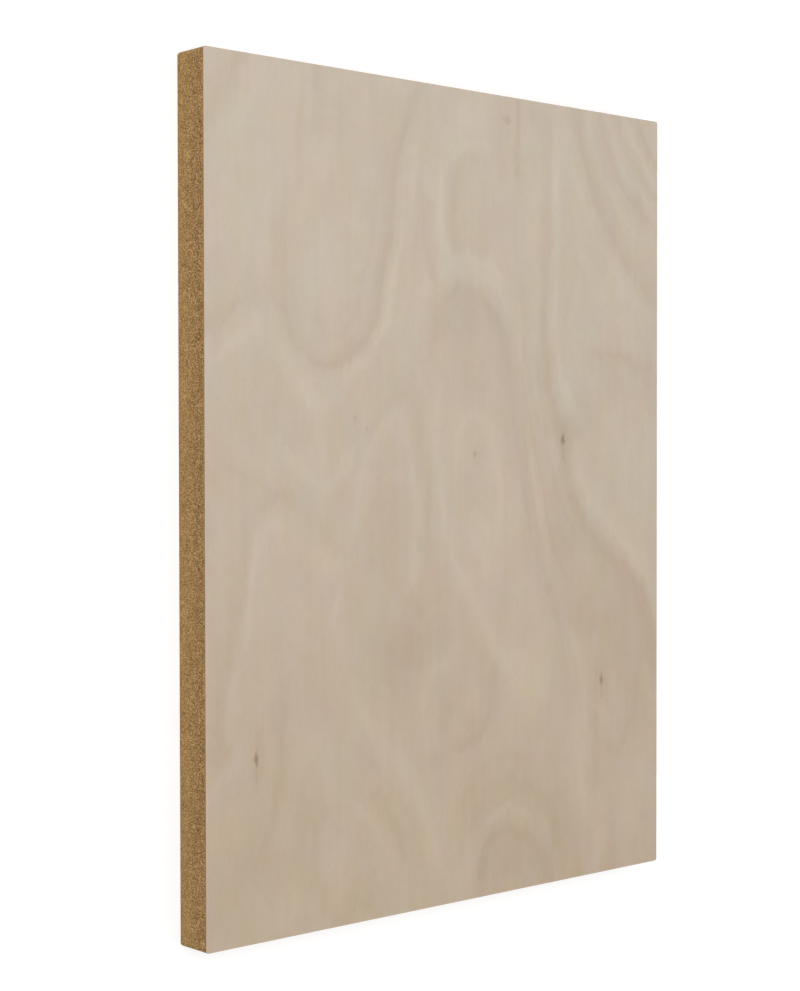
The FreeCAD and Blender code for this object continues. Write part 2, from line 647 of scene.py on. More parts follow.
SWEEP = (
    Ring(
        LATE, 0.46, 2.6,
        ((206, 384), (205, 361), (204, 330), (203, 307), (202, 285), (203, 262), (206, 243)), LEFT,
    ),
    Ring(
        EARLY, 0.64, 3.2,
        ((210, 386), (210, 342), (210, 316), (209, 291), (209, 269), (212, 253), (217, 241), (224, 232)),
    ),
    Ring(
        LATE, 0.92, 3.6,
        ((202, 260), (205, 244), (209, 231), (214, 220), (217, 204), (221, 190), (229, 176)),
    ),
    Flush(LATE, 0.90, (214, 222), (6, 6)),
    Flush(LATE, 0.36, (223, 222), (7, 4)),
    Ring(
        LATE, 0.92, 4.6,
        ((222, 187), (231, 175), (243, 163), (256, 154), (267, 143), (275, 129), (280, 113), (282, 90)),
        RIGHT,
    ),
    Flush(LATE, 0.50, (281, 112), (4, 12)),
    Ring(
        EARLY, 0.44, 4.0,
        ((224, 210), (228, 196), (238, 184), (251, 173), (264, 162), (275, 148), (285, 132)), LEFT,
    ),
    Flush(EARLY, 0.44, (209, 209), (3.5, 8)),
    Flush(EARLY, 0.36, (252, 220), (14, 16)),
    Flush(EARLY, 0.40, (272, 206), (10, 22)),
    Flush(EARLY, 0.20, (268, 182), (10, 12)),
    Flush(LATE, 0.44, (216, 156), (10, 26)),
    Flush(LATE, 0.50, (235, 131), (14, 14)),
    Flush(LATE, 0.26, (256, 122), (12, 16)),
    Flush(LATE, 0.24, (210, 182), (7, 14)),
)

LOWER_RIGHT = (
    Ring(
        EARLY, 0.40, 3.6,
        ((214, 133), (222, 117), (228, 104), (230, 88), (229, 69), (228, 50), (230, 30)), RIGHT,
    ),
    Flush(EARLY, 0.24, (228, 60), (7, 26)),
    Flush(EARLY, 0.32, (250, 73), (9, 15)),
    Ring(LATE, 0.24, 3.2, ((238, 104), (236, 88), (241, 70), (252, 60), (262, 68), (268, 88), (270, 108))),
    Flush(LATE, 0.24, (268, 94), (6, 13)),
    Flush(EARLY, 0.52, (273, 46), (11, 14)),
    Flush(EARLY, 0.48, (264, 25), (6, 18)),
    Flush(EARLY, 0.30, (246, 40), (6, 14)),
    Flush(LATE, 0.34, (251, 12), (4, 12)),
    Flush(EARLY, 0.30, (240, 14), (4, 13)),
    Ring(LATE, 0.56, 5.0, ((211, 54), (218, 34), (224, 15), (230, -6)), RIGHT),
    Flush(LATE, 0.24, (206, 62), (9, 7)),
)

BOTTOM_ARCH = (
    Ring(
        LATE, 0.54, 6.6,
        ((148, 22), (154, 36), (162, 46), (174, 52), (187, 50), (198, 43), (207, 32), (213, 15), (216, -4)),
    ),
    Ring(
        EARLY, 0.05, 3.2,
        ((151, 4), (155, 24), (163, 36), (177, 40), (190, 36), (200, 26), (208, 12), (213, -4)),
    ),
    Ring(
        LATE, 0.92, 3.8,
        ((157, -8), (159, 12), (165, 25), (175, 30), (187, 27), (196, 19), (203, 9), (209, -5)), RIGHT,
    ),
    Ring(LATE, 0.26, 3.0, ((146, 40), (152, 51), (162, 60), (176, 64), (192, 61))),
    Ring(LATE, 0.30, 1.6, ((153, 22), (158, 33), (166, 41), (176, 44), (187, 42), (196, 35), (204, 24))),
    Flush(LATE, 0.60, (179, 15), (14, 11)),
    Flush(EARLY, 0.12, (176, 2), (8, 5)),
)

UPPER_RIGHT = (
    Ring(
        LATE, 0.74, 3.6,
        (
            (221, 388), (225, 372), (231, 354), (238, 338), (247, 325),
            (256, 313), (265, 303), (276, 294), (290, 283),
        ),
        LEFT,
    ),
    Ring(EARLY, 0.30, 3.0, ((229, 384), (236, 362), (244, 348), (254, 335), (265, 323), (280, 310))),
    Ring(LATE, 0.44, 2.4, ((238, 388), (247, 364), (255, 350), (265, 339), (276, 329), (290, 319))),
    Ring(LATE, 0.30, 2.2, ((250, 388), (262, 362), (273, 350), (290, 336))),
    Ring(LATE, 0.50, 2.6, ((264, 388), (274, 368), (290, 347))),
    Ring(EARLY, 0.34, 2.2, ((243, 388), (255, 358), (268, 345), (284, 331))),
    Ring(EARLY, 0.34, 2.2, ((257, 388), (268, 365), (288, 341))),
    Flush(EARLY, 0.40, (247, 292), (14, 12)),
    Flush(EARLY, 0.34, (262, 277), (14, 7)),
    Flush(EARLY, 0.34, (223, 272), (5, 22)),
    Ring(EARLY, 0.30, 2.6, ((222, 336), (226, 316), (232, 302))),
    Ring(LATE, 0.46, 3.4, ((234, 262), (246, 258), (258, 257), (270, 254), (286, 253)), RIGHT),
    Ring(LATE, 0.44, 5.0, ((219, 240), (230, 233), (238, 224))),
    Flush(EARLY, 0.28, (238, 246), (7, 5)),
)

FACE_FIGURE = (
    UPPER_LEFT_LOOP + LEFT_ARCH + LOWER_LEFT + BULLSEYE + CENTRAL_ARCH
    + TOP_TONGUE + SWEEP + LOWER_RIGHT + BOTTOM_ARCH + UPPER_RIGHT
)

FACE_KNOTS = (
    PinKnot((215.2, 216.9), (2.5, 5.8), 0.84),
    PinKnot((26.6, 79.4), (1.9, 6.8), 0.80),
    PinKnot((243.0, 96.8), (2.1, 6.4), 0.68),
    PinKnot((155.5, 210.0), (2.0, 3.6), 0.36),
    PinKnot((82.0, 226.0), (1.9, 3.4), 0.20),
    PinKnot((89.0, 221.0), (1.4, 3.0), 0.18),
    PinKnot((177.0, 368.8), (4.4, 5.6), 0.25),
)

BACK_KNOTS = (
    PinKnot((64.0, 251.0), (1.6, 4.0), 0.9),
    PinKnot((171.0, 118.0), (1.3, 3.2), 0.6),
    PinKnot((228.0, 306.0), (1.5, 4.2), 0.8),
    PinKnot((118.0, 44.0), (1.1, 2.4), 0.4),
)


# How the marks stray from their listed places: sideways and lengthways in wavers, and feathered in mm.
SIDEWAYS = (
    Unevenness((9.0, 17.0), 1.0),
    Unevenness((4.0, 9.0), 0.5, 1),
    Unevenness((1.8, 5.0), 0.35, 3),
)
LENGTHWAYS = Unevenness((8.0, 20.0), 1.6, 2)
FEATHERED = Unevenness((2.4, 18.0), 1.8, 7)

# Soft tones that lie under the marks. The drifting ones follow the sideways straying.
DRIFTING_CLOUDS = Unevenness((9.0, 16.0), 0.14, 4)
CLOUD_DRIFT = 2.0
STILL_CLOUDS = (Unevenness((4.0, 6.0), 0.10, 5), Unevenness((36.0, 60.0), 0.12, 6))
FIRST_MARK = 100


@dataclass(frozen=True)
class Figure:
    """The pattern that the growth rings leave on one sheet."""

    marks: tuple[Ring | Flush, ...]
    knots: tuple[PinKnot, ...]
    sheet: Pair
    waver: float = 1.1
    seed: int = 11
    turned: bool = False

    def press(self, x: np.ndarray, y: np.ndarray) -> np.ndarray:
        """Lays every mark over the sheet.

        Args:
            x: distance from the board's middle, in metres.
            y: distance from the board's middle, in metres.

        Returns:
            The figure at each point: below 0 late wood, above 0 early wood.
        """
        across = x / MM + self.sheet[0] / 2
        along = y / MM + self.sheet[1] / 2
        if self.turned:
            across, along = self.sheet[0] - across, self.sheet[1] - along
        side = self.waver * sum(layer.spread(across, along, self.seed) for layer in SIDEWAYS)
        up = self.waver * LENGTHWAYS.spread(across, along, self.seed)
        up += FEATHERED.spread(across, along, self.seed)
        total = DRIFTING_CLOUDS.spread(across + CLOUD_DRIFT * side, along, self.seed)
        for layer in STILL_CLOUDS:
            total += layer.spread(across, along, self.seed)
        for number, mark in enumerate(self.marks):
            total += mark.press(across + side, along + up, self.seed + FIRST_MARK + number)
        return FULL_TONE * np.tanh(total / FULL_TONE)


# ---------------------------------------------------------------- shader tools


PLAIN = (1.0, 1.0, 1.0)


class Bench:
    """Places and joins the nodes of one tree."""

    def __init__(self, tree: bpy.types.NodeTree) -> None:
        """Takes the tree to work on."""
        self.tree = tree

    def place(self, kind: str, **settings: str | int | float | bool) -> bpy.types.Node:
        """Adds a node.

        Args:
            kind: the node's type name.
            settings: the node's own choices.

        Returns:
            The new node.
        """
        node = self.tree.nodes.new(kind)
        for name, value in settings.items():
            setattr(node, name, value)
        return node

    def feed(self, target: Socket, value: Value) -> None:
        """Gives a socket another socket's value, or a plain one.

        Args:
            target: the socket to fill.
            value: a socket to join to it, or what to set on it.
        """
        if isinstance(value, bpy.types.NodeSocket):
            self.tree.links.new(value, target)
        elif isinstance(value, tuple) and len(target.default_value) == 4:
            target.default_value = (*value, 1.0)
        else:
            target.default_value = value

    def math(self, operation: str, *values: Value, clamp: bool = False) -> Socket:
        """Works out one number.

        Args:
            operation: what to do with the values.
            values: up to three numbers or sockets.
            clamp: whether the result stays between 0 and 1.

        Returns:
            The result's socket.
        """
        node = self.place("ShaderNodeMath", operation=operation, use_clamp=clamp)
        for target, value in zip(node.inputs, values):
            self.feed(target, value)
        return node.outputs[0]

    def vector(self, operation: str, *values: Value) -> Socket:
        """Works out one vector.

        Args:
            operation: what to do with the vectors.
            values: vectors or sockets.

        Returns:
            The result's socket.
        """
        node = self.place("ShaderNodeVectorMath", operation=operation)
        for target, value in zip(node.inputs, values):
            self.feed(target, value)
        return node.outputs["Value" if operation == "LENGTH" else "Vector"]

    def fade(self, value: Value, start: Value, end: Value, low: Value = 0.0, high: Value = 1.0) -> Socket:
        """Eases from one level to another as a value rises.

        Args:
            value: the value that rises.
            start: where the change starts.
            end: where it ends.
            low: the level before it.
            high: the level after it.

        Returns:
            The level's socket.
        """
        node = self.place("ShaderNodeMapRange", interpolation_type="SMOOTHSTEP")
        levels = {"Value": value, "From Min": start, "From Max": end, "To Min": low, "To Max": high}
        for name, level in levels.items():
            self.feed(node.inputs[name], level)
        return node.outputs["Result"]

    def noise(
        self, place: Socket, fineness: Triple = PLAIN, detail: float = 2.0, roughness: float = 0.5
    ) -> Socket:
        """Cloudy noise.

        Args:
            place: where to look it up.
            fineness: its waves to each unit of the place, in each direction.
            detail: how many finer layers it has.
            roughness: how strong those are.

        Returns:
            Its value, about 0.5 on the whole.
        """
        node = self.place("ShaderNodeTexNoise")
        levels = {
            "Vector": self.stretched(place, fineness),
            "Scale": 1.0,
            "Detail": detail,
            "Roughness": roughness,
        }
        for name, level in levels.items():
            self.feed(node.inputs[name], level)
        return node.outputs["Fac"]

    def cells(self, place: Socket, fineness: Triple = PLAIN) -> bpy.types.Node:
        """Scattered cells.

        Args:
            place: where to look them up.
            fineness: how many there are to each unit of the place, in each direction.

        Returns:
            The node, with Distance and Color.
        """
        node = self.place("ShaderNodeTexVoronoi")
        self.feed(node.inputs["Vector"], self.stretched(place, fineness))
        self.feed(node.inputs["Scale"], 1.0)
        return node

    def stretched(self, place: Socket, fineness: Triple) -> Socket:
        """Scales a place by a plain vector.

        Args:
            place: the place.
            fineness: what each direction is multiplied by.

        Returns:
            The scaled place.
        """
        return place if fineness == PLAIN else self.vector("MULTIPLY", place, fineness)

    def relief(self, shader: bpy.types.Node, height: Socket, strength: float, depth: float) -> None:
        """Gives a shader a fine relief.

        Args:
            shader: the shader.
            height: the relief's height.
            strength: how much of it shows.
            depth: the height's unit, in metres.
        """
        bump = self.place("ShaderNodeBump")
        self.feed(bump.inputs["Height"], height)
        self.feed(bump.inputs["Strength"], strength)
        self.feed(bump.inputs["Distance"], depth)
        self.feed(shader.inputs["Normal"], bump.outputs["Normal"])

    def blend(self, share: Value, first: Value, second: Value, mode: str = "MIX") -> Socket:
        """Mixes two colours.

        Args:
            share: how much of the second, from 0 to 1.
            first: the colour underneath.
            second: the colour laid on.
            mode: how it is laid on.

        Returns:
            The colour's socket.
        """
        node = self.place("ShaderNodeMix", data_type="RGBA", blend_type=mode)
        sockets = {s.identifier: s for s in node.inputs}
        self.feed(sockets["Factor_Float"], share)
        self.feed(sockets["A_Color"], first)
        self.feed(sockets["B_Color"], second)
        return next(s for s in node.outputs if s.identifier == "Result_Color")

    def lay(self, mask: Value, share: Value, first: Value, second: Value) -> Socket:
        """Lays a colour on where a mask is set.

        Args:
            mask: where it goes, from 0 to 1.
            share: how much of it shows there.
            first: the colour underneath.
            second: the colour laid on.

        Returns:
            The colour's socket.
        """
        return self.blend(self.math("MULTIPLY", mask, share), first, second)

    def here(self) -> Socket:
        """The point being shaded, in the piece's own frame."""
        return self.place("ShaderNodeTexCoord").outputs["Object"]

    def carried(self, carrier: Carrier, output: str = "Fac") -> Socket:
        """Reads a value that the mesh carries.

        Args:
            carrier: which value.
            output: Fac for a number, Vector for a vector.

        Returns:
            Its socket.
        """
        return self.place("ShaderNodeAttribute", attribute_name=carrier.value).outputs[output]

    def apart(self, vector: Socket) -> tuple[Socket, Socket, Socket]:
        """Splits a vector.

        Args:
            vector: the vector.

        Returns:
            Its X, Y and Z.
        """
        node = self.place("ShaderNodeSeparateXYZ")
        self.feed(node.inputs[0], vector)
        return tuple(node.outputs)

    def effect(self, effect: "Effect", **levels: Value) -> bpy.types.Node:
        """Places a shared effect with its own values.

        Args:
            effect: which effect.
            levels: its inputs, with _ for a space.

        Returns:
            The group's node.
        """
        node = self.place("ShaderNodeGroup", node_tree=effect.tree())
        for name, level in levels.items():
            self.feed(node.inputs[name.replace("_", " ")], level)
        return node


class Effect:
    """A shader node group with named sockets, built once."""

    title = "effect"
    takes: dict[str, str] = {}
    gives: tuple[str, ...] = ()

    def tree(self) -> bpy.types.NodeTree:
        """Builds the group the first time it is asked for, and finds it again after that.

        Returns:
            The group.
        """
        found = bpy.data.node_groups.get(self.title)
        if found is not None:
            return found
        tree = bpy.data.node_groups.new(self.title, "ShaderNodeTree")
        for name, kind in self.takes.items():
            tree.interface.new_socket(name=name, in_out="INPUT", socket_type=kind)
        for name in self.gives:
            tree.interface.new_socket(name=name, in_out="OUTPUT", socket_type="NodeSocketFloat")
        bench = Bench(tree)
        source = bench.place("NodeGroupInput").outputs
        results = self.wire(bench, source)
        target = bench.place("NodeGroupOutput").inputs
        for name, result in zip(self.gives, results):
            bench.feed(target[name], result)
        return tree

    def wire(self, bench: Bench, source: Sockets) -> tuple[Socket, ...]:
        """Joins the effect's nodes.

        Args:
            bench: where they are placed.
            source: the group's inputs.

        Returns:
            One socket for each of the group's outputs.
        """
        raise NotImplementedError


NUMBER = "NodeSocketFloat"
VECTOR = "NodeSocketVector"


class WoodGrain(Effect):
    """Fibres, pores and faint inner rings of a peeled sheet, with the grain along Y.

    Finenesses are waves or cells to the metre. Shares are set against the hairs, which count as 1.
    """

    title = "wood_grain"
    takes = {"Vector": VECTOR, "Figure": NUMBER, "Ring Echo": NUMBER, "Fibre": NUMBER}
    gives = ("Tone", "Blush", "Straw", "Pores", "Height")

    drift_fineness = (30.0, 13.0, 30.0)
    drift_phase = 30.0
    figure_phase = 9.0
    hair_fineness = (3400.0, 150.0, 900.0)
    streak_fineness = (760.0, 24.0, 300.0)
    streak_share = 0.8
    mottle_fineness = (240.0, 170.0, 240.0)
    mottle_share = 1.3
    ribbon_fineness = (230.0, 15.0, 230.0)
    ribbon_share = 1.6
    blush_fineness = (56.0, 26.0, 30.0)
    straw_fineness = (84.0, 40.0, 30.0)
    straw_offset = (5.1, 8.3, 2.7)
    pore_fineness = (2300.0, 330.0, 900.0)
    pore_choice = (0.62, 0.70)
    pore_rim = (0.42, 0.12)
    pore_depth = 1.4

    def wire(self, bench: Bench, source: Sockets) -> tuple[Socket, ...]:
        """Joins the effect's nodes.

        Args:
            bench: where they are placed.
            source: the group's inputs.

        Returns:
            The tone, the blush, the straw tint, the pores and the height.
        """
        place, figure = source["Vector"], source["Figure"]
        drift = bench.noise(place, self.drift_fineness, detail=1.6)
        figure_phase = bench.math("MULTIPLY", figure, self.figure_phase)
        echo_phase = bench.math("MULTIPLY_ADD", drift, self.drift_phase, figure_phase)
        echo = bench.math("MULTIPLY", bench.math("SINE", echo_phase), source["Ring Echo"])
        hairs = bench.noise(place, self.hair_fineness)
        streaks = bench.noise(place, self.streak_fineness, detail=4.0, roughness=0.6)
        mottle = bench.noise(place, self.mottle_fineness, detail=3.0, roughness=0.65)
        ribbons = bench.noise(place, self.ribbon_fineness, detail=3.0, roughness=0.6)
        fibre = bench.math("MULTIPLY_ADD", mottle, self.mottle_share, hairs)
        fibre = bench.math("MULTIPLY_ADD", streaks, self.streak_share, fibre)
        fibre = bench.math("MULTIPLY_ADD", ribbons, self.ribbon_share, fibre)
        middle = 0.5 * (1.0 + self.mottle_share + self.streak_share + self.ribbon_share)
        fibre = bench.math("MULTIPLY", bench.math("SUBTRACT", fibre, middle), source["Fibre"])
        tone = bench.math("ADD", figure, bench.math("ADD", echo, fibre))
        blush = bench.noise(place, self.blush_fineness, detail=4.0, roughness=0.6)
        straw_place = bench.vector("ADD", bench.stretched(place, self.straw_fineness), self.straw_offset)
        straw = bench.noise(straw_place, detail=4.0, roughness=0.65)
        pore = bench.cells(place, self.pore_fineness)
        chosen = bench.fade(bench.apart(pore.outputs["Color"])[0], *self.pore_choice)
        pores = bench.math("MULTIPLY", bench.fade(pore.outputs["Distance"], *self.pore_rim), chosen)
        height = bench.math("SUBTRACT", hairs, bench.math("MULTIPLY", pores, self.pore_depth))
        return tone, blush, straw, pores, height


class PinKnotMark(Effect):
    """A dark bud trace with a tail along the grain and a soft halo about it."""

    title = "pin_knot"
    takes = {"Vector": VECTOR, "Centre": VECTOR, "Width": NUMBER, "Length": NUMBER}
    gives = ("Mark", "Halo")

    shake_fineness = (900.0, 420.0, 900.0)
    shake_fade = (0.3, 0.7)
    raggedness = (0.80, 1.25)
    core_half = (1.0, 0.85)
    core_point = 1.35
    core_fade = (1.0, 0.12)
    tail_place = 0.9
    tail_half = (0.55, 1.5)
    tail_fade = (1.1, 0.1)
    tail_share = 0.20
    halo_place = 0.6
    halo_half = (3.2, 2.4)
    halo_fade = (1.2, 0.0)

    def wire(self, bench: Bench, source: Sockets) -> tuple[Socket, ...]:
        """Joins the effect's nodes.

        Args:
            bench: where they are placed.
            source: the group's inputs.

        Returns:
            The mark and its halo.
        """
        shake = bench.noise(source["Vector"], self.shake_fineness, detail=3.0)
        ragged = bench.fade(shake, *self.shake_fade, *self.raggedness)
        x, y, _ = bench.apart(bench.vector("SUBTRACT", source["Vector"], source["Centre"]))
        u = bench.math("DIVIDE", x, source["Width"])
        v = bench.math("DIVIDE", y, source["Length"])
        core = bench.math("MULTIPLY", self.spindle(bench, u, v), ragged)
        tail_v = bench.math("ADD", v, self.tail_place)
        tail = bench.math("MULTIPLY", self.ellipse(bench, u, tail_v, self.tail_half), ragged)
        tail = bench.math("MULTIPLY", bench.fade(tail, *self.tail_fade), self.tail_share)
        mark = bench.math("MAXIMUM", bench.fade(core, *self.core_fade), tail)
        halo_u = bench.math("SUBTRACT", u, self.halo_place)
        halo = bench.math("MULTIPLY", self.ellipse(bench, halo_u, v, self.halo_half), ragged)
        return mark, bench.fade(halo, *self.halo_fade)

    def spindle(self, bench: Bench, u: Socket, v: Socket) -> Socket:
        """Measures how far out a point lies from the middle of the core, a spindle with pointed ends.

        Args:
            bench: where the nodes are placed.
            u: the point's first coordinate.
            v: its second coordinate.

        Returns:
            1 on the spindle's edge, less inside it.
        """
        a = bench.math("ABSOLUTE", bench.math("DIVIDE", u, self.core_half[0]))
        b = bench.math("ABSOLUTE", bench.math("DIVIDE", v, self.core_half[1]))
        return bench.math("ADD", bench.math("POWER", a, self.core_point), b)

    def ellipse(self, bench: Bench, u: Socket, v: Socket, half: Pair) -> Socket:
        """Measures how far out a point lies from an ellipse's centre.

        Args:
            bench: where the nodes are placed.
            u: the point's first coordinate.
            v: its second coordinate.
            half: the ellipse's half width and half height.

        Returns:
            1 on the ellipse, less inside it.
        """
        a = bench.math("POWER", bench.math("DIVIDE", u, half[0]), 2.0)
        b = bench.math("POWER", bench.math("DIVIDE", v, half[1]), 2.0)
        return bench.math("SQRT", bench.math("ADD", a, b))


class ArrisWearAndHighlight(Effect):
    """A patchy band along the board's edges, fading inwards: wear on the core's edges, and a painted
    highlight along the veneer's arris.
    """

    title = "arris_wear_and_highlight"
    takes = {"Vector": VECTOR, "Half Size": VECTOR, "Reach": NUMBER, "Patchiness": NUMBER}
    gives = ("Wear And Highlight", "Side")

    patch_fineness = (90.0, 90.0, 90.0)
    side_rim = (0.16 * MM, 0.04 * MM)

    def wire(self, bench: Bench, source: Sockets) -> tuple[Socket, ...]:
        """Joins the effect's nodes.

        Args:
            bench: where they are placed.
            source: the group's inputs.

        Returns:
            The band's share, used for wear and for a painted highlight, and 1 on the narrow sides
            themselves.
        """
        rise = bench.vector("MULTIPLY", source["Half Size"], (0.0, 0.0, 1.0))
        from_middle = bench.vector("SUBTRACT", source["Vector"], rise)
        inside = bench.vector("SUBTRACT", source["Half Size"], bench.vector("ABSOLUTE", from_middle))
        x, y, z = bench.apart(inside)
        least = bench.math("MINIMUM", x, y)
        most = bench.math("MAXIMUM", x, y)
        arris = bench.math("MAXIMUM", least, bench.math("MINIMUM", most, z))
        clouds = bench.noise(source["Vector"], self.patch_fineness, detail=5.0)
        patch = bench.math("MULTIPLY", bench.math("SUBTRACT", clouds, 0.5), source["Patchiness"])
        edge_band = bench.fade(arris, source["Reach"], 0.0)
        side = bench.fade(least, *self.side_rim)
        return bench.math("MULTIPLY", edge_band, bench.math("ADD", patch, 1.0), clamp=True), side


class FibreMat(Effect):
    """Felted wood fibres: thin curling threads and the gaps between them, as masks for pale threads, partly
    painted highlight, and for painted shade in the gaps.
    """

    title = "fibre_mat"
    takes = {"Vector": VECTOR, "Offset": VECTOR, "Fineness": VECTOR}
    gives = ("Threads", "Gap Shade", "Sparks", "Height")

    crest_width = (0.085, 0.01)
    break_fineness = (0.7, 0.7, 0.7)
    break_fade = (0.46, 0.6)
    valley_offset = (7.3, 2.9, 5.1)
    valley_fade = (0.37, 0.29)
    end_offset = (1.7, 9.2, 4.4)
    hole_choice = (0.64, 0.70)
    hole_rim = (0.46, 0.24)
    spark_choice = (0.30, 0.24)
    spark_rim = (0.44, 0.16)
    thread_height = 0.5

    def wire(self, bench: Bench, source: Sockets) -> tuple[Socket, ...]:
        """Joins the effect's nodes.

        Args:
            bench: where they are placed.
            source: the group's inputs.

        Returns:
            The threads, the gaps that carry painted shade, the bright fibre ends and the height.
        """
        place = bench.vector("MULTIPLY_ADD", source["Vector"], source["Fineness"], source["Offset"])
        curl = bench.noise(place, roughness=0.55)
        crest = bench.math("ABSOLUTE", bench.math("SUBTRACT", curl, 0.5))
        broken = bench.fade(bench.noise(place, self.break_fineness, detail=1.0), *self.break_fade)
        threads = bench.math("MULTIPLY", bench.fade(crest, *self.crest_width), broken)
        valley = bench.noise(bench.vector("ADD", place, self.valley_offset), roughness=0.6)
        ends = bench.cells(bench.vector("ADD", place, self.end_offset))
        lot = bench.apart(ends.outputs["Color"])[0]
        away = ends.outputs["Distance"]
        open_cells = bench.fade(lot, *self.hole_choice)
        holes = bench.math("MULTIPLY", open_cells, bench.fade(away, *self.hole_rim))
        bright = bench.fade(lot, *self.spark_choice)
        sparks = bench.math("MULTIPLY", bright, bench.fade(away, *self.spark_rim))
        gaps = bench.math("MAXIMUM", bench.fade(valley, *self.valley_fade), holes)
        height = bench.math("SUBTRACT", bench.math("MULTIPLY", threads, self.thread_height), gaps)
        return threads, gaps, sparks, height


# ---------------------------------------------------------------- finishes


def start_material(name: str) -> tuple[bpy.types.Material, Bench, bpy.types.Node]:
    """Makes a plain material to build on.

    Args:
        name: the material's name.

    Returns:
        The material, the bench for its nodes, and its shader.
    """
    material = bpy.data.materials.new(name)
    material.use_nodes = True
    return material, Bench(material.node_tree), material.node_tree.nodes["Principled BSDF"]


@dataclass(frozen=True)
class VeneerFinish:
    """Sanded, unsealed birch."""

    early: Colour = (0.564, 0.480, 0.380)
    late: Colour = (0.456, 0.359, 0.269)
    blush: Colour = (1.014, 0.994, 1.0)
    moss: Colour = (0.986, 1.006, 1.0)
    straw: Colour = (1.003, 1.003, 0.971)
    ash: Colour = (0.997, 0.997, 1.029)
    pore: Colour = (0.400, 0.305, 0.215)
    knot: Colour = (0.215, 0.150, 0.098)
    halo: Colour = (0.440, 0.330, 0.240)
    rear_tint: Colour = (1.0, 1.037, 1.072)
    # Darker and warmer at the front end: the wood's own warmer tone, and painted shade.
    front_tint_and_shade: Colour = (0.877, 0.840, 0.789)
    # A pale patchy band along the face's arris: painted highlight.
    arris_highlight: Colour = (0.612, 0.496, 0.378)
    rim: Colour = (0.272, 0.164, 0.074)
    figure_gain: float = 0.43
    ring_echo: float = 0.06
    fibre: float = 0.38
    tint_fade: Pair = (0.34, 0.66)
    pore_share: float = 0.24
    halo_share: float = 0.45
    knot_share: float = 0.80
    rear_end: float = 1.15
    front_end: float = -1.25
    arris_highlight_share: float = 0.24
    arris_highlight_reach: float = 0.9 * MM
    patchiness: float = 1.6
    rim_share: float = 0.96
    roughness: float = 0.62
    pore_roughness: float = 0.12
    tone_roughness: float = -0.05
    shine: float = 0.28
    relief: float = 0.35
    relief_depth: float = 0.05 * MM

    def material(self, name: str, figure: Figure, half_size: Vector) -> bpy.types.Material:
        """Makes the material for one sheet.

        Args:
            name: the material's name.
            figure: the sheet's figure, for its knots.
            half_size: half the board's size.

        Returns:
            The material.
        """
        material, bench, shader = start_material(name)
        place = bench.here()
        marks = bench.carried(Carrier.FIGURE)
        grain = bench.effect(
            WoodGrain(), Vector=place, Figure=marks, Ring_Echo=self.ring_echo, Fibre=self.fibre
        ).outputs
        tone = bench.math("MULTIPLY_ADD", grain["Tone"], self.figure_gain, 0.5, clamp=True)
        colour = bench.blend(tone, self.late, self.early)
        for cloud, low, high in (("Blush", self.moss, self.blush), ("Straw", self.ash, self.straw)):
            tint = bench.blend(bench.fade(grain[cloud], *self.tint_fade), low, high)
            colour = bench.blend(1.0, colour, tint, "MULTIPLY")
        colour = bench.lay(grain["Pores"], self.pore_share, colour, self.pore)
        colour = self.stain(bench, place, colour, figure)
        # The sheet's tone drifts from the rear end to the front: warmer as the wood's own tone, and darker
        # as painted shade.
        _, y, _ = bench.apart(place)
        front = bench.fade(y, self.rear_end * half_size.y, self.front_end * half_size.y)
        drift_and_shade = bench.blend(front, self.rear_tint, self.front_tint_and_shade)
        colour = bench.blend(1.0, colour, drift_and_shade, "MULTIPLY")
        arris_masks = bench.effect(
            ArrisWearAndHighlight(),
            Vector=place,
            Half_Size=tuple(half_size),
            Reach=self.arris_highlight_reach,
            Patchiness=self.patchiness,
        ).outputs
        # Painted highlight: a pale patchy band along the arris.
        colour = bench.lay(arris_masks["Wear And Highlight"], self.arris_highlight_share, colour, self.arris_highlight)
        colour = bench.lay(arris_masks["Side"], self.rim_share, colour, self.rim)
        bench.feed(shader.inputs["Base Color"], colour)
        rough = bench.math("MULTIPLY_ADD", grain["Pores"], self.pore_roughness, self.roughness)
        rough = bench.math("MULTIPLY_ADD", grain["Tone"], self.tone_roughness, rough, clamp=True)
        bench.feed(shader.inputs["Roughness"], rough)
        bench.feed(shader.inputs["Specular IOR Level"], self.shine)
        bench.relief(shader, grain["Height"], self.relief, self.relief_depth)
        return material

    def stain(self, bench: Bench, place: Socket, colour: Socket, figure: Figure) -> Socket:
        """Lays the pin knots over the wood.

        Args:
            bench: where the nodes are placed.
            place: the point on the sheet.
            colour: the wood's colour so far.
            figure: the sheet's figure.

        Returns:
            The colour with the knots in it.
        """
        flat = bench.vector("MULTIPLY", place, (1.0, 1.0, 0.0))
        for knot in figure.knots:
            centre = [(c - s / 2) * MM for c, s in zip(knot.centre, figure.sheet)]
            if figure.turned:
                centre = [-c for c in centre]
            width, length = (s * MM for s in knot.size)
            mark = bench.effect(
                PinKnotMark(), Vector=flat, Centre=(*centre, 0.0), Width=width, Length=length
            ).outputs
            colour = bench.lay(mark["Halo"], self.halo_share * knot.strength, colour, self.halo)
            colour = bench.lay(mark["Mark"], self.knot_share * knot.strength, colour, self.knot)
        return colour


